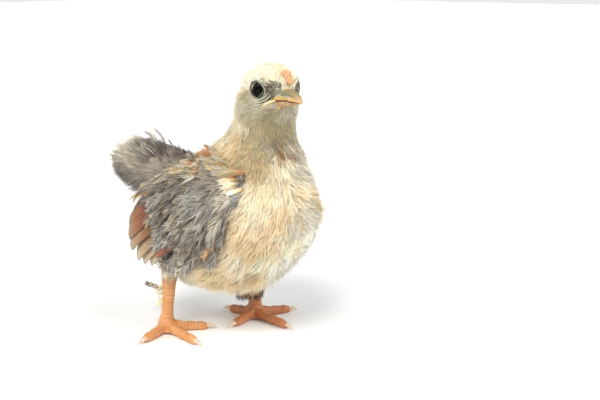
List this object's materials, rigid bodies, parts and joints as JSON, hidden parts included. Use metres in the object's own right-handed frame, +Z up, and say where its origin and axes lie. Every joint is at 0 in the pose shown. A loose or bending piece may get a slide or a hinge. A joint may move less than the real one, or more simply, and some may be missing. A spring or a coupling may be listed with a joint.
{
  "type": "wind-up hopping chick",
  "caption": "Lifelike chick with a down cover over moulded shells; a wound clockwork motor swings both legs on one shaft so that it hops.",
  "frame": {"origin": "middle of the bounding box at floor level, which is the plane of the soles", "axes": "+Z up, -Y the way the chick faces, +X towards its left side, where the key is"},
  "size_m": [0.1072, 0.1503, 0.1503],
  "materials": {
    "shell_plastic": "moulded, satin",
    "down": "soft cream down",
    "head_down": "short pale lemon down",
    "eye_gloss": "high gloss black",
    "beak_horn": "satin horn",
    "comb_skin": "soft matt skin",
    "wing_feather": "mottled grey and cream feather",
    "tail_feather": "loose grey down",
    "plate_steel": "stamped sheet",
    "turned_steel": "turned",
    "spring_steel": "blued",
    "wheel_brass": "stamped",
    "key_brass": "polished",
    "white_plastic": "moulded",
    "leg_skin": "scaled, satin",
    "claw_horn": "satin"
  },
  "bodies": {
    "chick": {"body_shell_right": "shell_plastic", "body_shell_left": "shell_plastic", "head_shell_right": "shell_plastic", "head_shell_left": "shell_plastic", "neck_collar": "white_plastic", "belly_plate": "white_plastic", "shell_screws": "turned_steel", "body_cover": "down", "head_cover": "head_down", "eye_right": "eye_gloss", "eye_left": "eye_gloss", "upper_beak": "beak_horn", "lower_beak": "beak_horn", "comb": "comb_skin", "wing_right": "wing_feather", "wing_left": "wing_feather", "tail": "tail_feather", "motor_plate_right": "plate_steel", "motor_plate_left": "plate_steel", "frame_pillars": "turned_steel", "pillar_screws": "turned_steel", "mainspring": "spring_steel", "spring_post": "turned_steel", "leg_bushes": "white_plastic", "key_bush": "key_brass"},
    "winder": {"winding_arbor": "turned_steel", "ratchet_wheel": "wheel_brass", "winding_key": "key_brass"},
    "great": {"great_wheel": "wheel_brass", "click_pin": "turned_steel", "click_spring": "spring_steel"},
    "click": {"click": "wheel_brass"},
    "second": {"second_arbor": "turned_steel", "second_wheel": "wheel_brass"},
    "crank": {"crank_arbor": "turned_steel", "third_wheel": "wheel_brass", "crank_disc": "plate_steel", "crank_pin": "turned_steel"},
    "escape": {"star_arbor": "turned_steel", "star_wheel": "wheel_brass"},
    "pallet": {"pallet_arbor": "turned_steel", "pallet": "white_plastic"},
    "legs": {"leg_shaft": "turned_steel", "rocker_arm": "plate_steel", "link_pin": "turned_steel", "hip_arm_right": "plate_steel", "hip_arm_left": "plate_steel", "shank_right": "leg_skin", "shank_left": "leg_skin", "foot_right": "leg_skin", "foot_left": "leg_skin", "claws_right": "claw_horn", "claws_left": "claw_horn"},
    "link": {"connecting_link": "plate_steel"}
  },
  "joints": [
    {"name": "key_wind", "type": "hinge", "parent": "chick", "child": "winder", "pos_m": [-0.00445, -0.03028, 0.07], "axis": [1, 0, 0], "range_deg": [-1620, 0]},
    {"name": "great_spin", "type": "hinge", "parent": "chick", "child": "great", "pos_m": [-0.00445, -0.03028, 0.07], "axis": [1, 0, 0], "continuous": true},
    {"name": "click_lift", "type": "hinge", "parent": "great", "child": "click", "pos_m": [-0.00445, -0.02601, 0.08175], "axis": [1, 0, 0], "range_deg": [0, 14], "stiffness_Nm_per_rad": 0.0002},
    {"name": "second_spin", "type": "hinge", "parent": "chick", "child": "second", "pos_m": [-0.00445, -0.00628, 0.07], "axis": [1, 0, 0], "continuous": true},
    {"name": "crank_spin", "type": "hinge", "parent": "chick", "child": "crank", "pos_m": [-0.00445, 0.00232, 0.05771], "axis": [1, 0, 0], "continuous": true},
    {"name": "escape_spin", "type": "hinge", "parent": "chick", "child": "escape", "pos_m": [-0.00445, 0.01113, 0.0651], "axis": [1, 0, 0], "continuous": true},
    {"name": "pallet_rock", "type": "hinge", "parent": "chick", "child": "pallet", "pos_m": [-0.00445, 0.01113, 0.07401], "axis": [1, 0, 0], "range_deg": [-5, 5]},
    {"name": "leg_swing", "type": "hinge", "parent": "chick", "child": "legs", "pos_m": [-0.00445, -0.01028, 0.047], "axis": [1, 0, 0], "range_deg": [-14, 14]},
    {"name": "link_swing", "type": "hinge", "parent": "legs", "child": "link", "pos_m": [-0.00445, -0.01028, 0.059], "axis": [1, 0, 0], "range_deg": [-14, 14]}
  ],
  "couplings": [
    {"joint": "second_spin", "follows": "great_spin", "ratio": -4},
    {"joint": "crank_spin", "follows": "great_spin", "ratio": 16},
    {"joint": "escape_spin", "follows": "great_spin", "ratio": -57.6},
    {"joint": "link_swing", "follows": "leg_swing", "ratio": -1}
  ]
}
